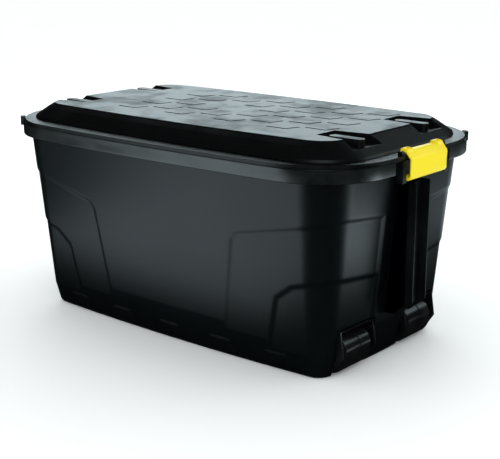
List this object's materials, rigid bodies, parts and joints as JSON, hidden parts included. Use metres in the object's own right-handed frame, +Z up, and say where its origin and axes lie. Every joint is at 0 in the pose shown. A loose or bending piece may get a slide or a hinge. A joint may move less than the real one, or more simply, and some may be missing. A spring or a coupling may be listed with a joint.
{
  "type": "wheeled storage box",
  "caption": "Large wheeled storage box: drafted tub with stepped corner panels, lift-off patterned lid, clip handles at both ends and wide wheels under one end.",
  "frame": {"origin": "centre of the footprint, on the ground", "axes": "+X along the length towards the wheeled end, +Y across, +Z up"},
  "size_m": [0.957, 0.5678, 0.458],
  "materials": {
    "black_plastic": "satin moulded black polypropylene",
    "lid_plastic": "satin moulded black polypropylene, fine grain on top",
    "yellow_plastic": "glossy yellow plastic",
    "wheel_plastic": "glossy hard black plastic",
    "axle_steel": "plain steel pin"
  },
  "bodies": {
    "tub": {"tub": "black_plastic", "wheel_bracket_front": "wheel_plastic", "wheel_bracket_rear": "wheel_plastic", "wheel_axle_front": "axle_steel", "wheel_axle_rear": "axle_steel"},
    "lid": {"lid": "lid_plastic"},
    "wheel_end_handle": {"clip_handle_wheel_end": "yellow_plastic"},
    "far_end_handle": {"clip_handle_far_end": "yellow_plastic"},
    "front_wheel": {"wheel_front": "wheel_plastic"},
    "rear_wheel": {"wheel_rear": "wheel_plastic"}
  },
  "joints": [
    {"name": "lid_lift", "type": "slide", "parent": "tub", "child": "lid", "axis": [0, 0, 1], "range_m": [0, 0.024]},
    {"name": "wheel_end_clip", "type": "hinge", "parent": "tub", "child": "wheel_end_handle", "pos_m": [0.462, 0, 0.383], "axis": [0, 1, 0], "range_deg": [0, 85.95]},
    {"name": "far_end_clip", "type": "hinge", "parent": "tub", "child": "far_end_handle", "pos_m": [-0.462, 0, 0.383], "axis": [0, -1, 0], "range_deg": [0, 85.95]},
    {"name": "front_wheel_spin", "type": "hinge", "parent": "tub", "child": "front_wheel", "pos_m": [0.362, -0.11, 0.042], "axis": [0, 1, 0], "continuous": true},
    {"name": "rear_wheel_spin", "type": "hinge", "parent": "tub", "child": "rear_wheel", "pos_m": [0.362, 0.11, 0.042], "axis": [0, 1, 0], "continuous": true}
  ],
  "couplings": [
    {"joint": "wheel_end_clip", "follows": "lid_lift", "rad_per_m": 62.5},
    {"joint": "far_end_clip", "follows": "lid_lift", "rad_per_m": 62.5}
  ]
}
